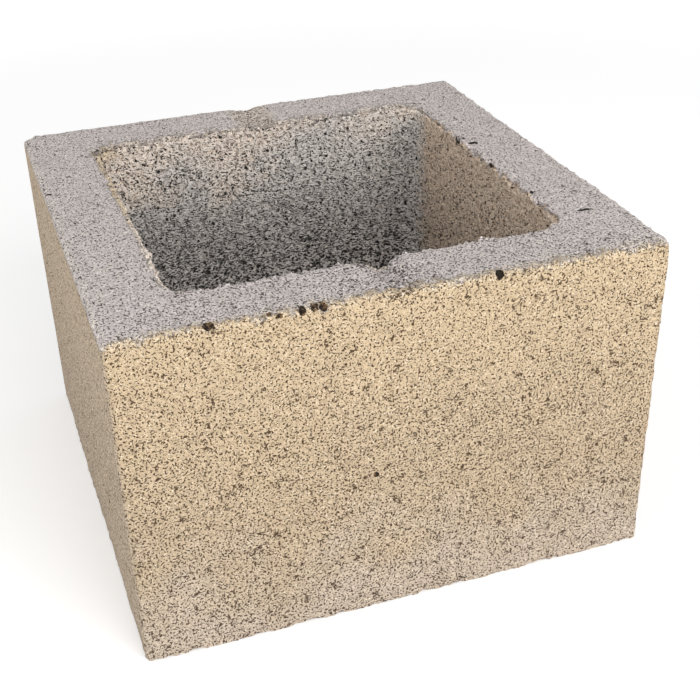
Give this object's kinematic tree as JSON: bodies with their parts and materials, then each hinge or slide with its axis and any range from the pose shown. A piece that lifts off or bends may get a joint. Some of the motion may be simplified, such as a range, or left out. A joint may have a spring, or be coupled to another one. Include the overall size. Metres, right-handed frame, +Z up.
{
  "type": "hollow concrete block",
  "caption": "Square hollow concrete block with a single drafted core, stacked in courses over a post or reinforcement to build piers and pillars.",
  "frame": {"origin": "middle of the bottom bed face, on the axis of the core", "axes": "+Z up along the core, -Y towards the front face, +X to the right when facing the front"},
  "size_m": [0.29, 0.29, 0.19],
  "materials": {
    "concrete": "rough open-textured pressed concrete, sandy on the moulded sides and grey on the top"
  },
  "bodies": {
    "root": {"block": "concrete"}
  },
  "joints": []
}
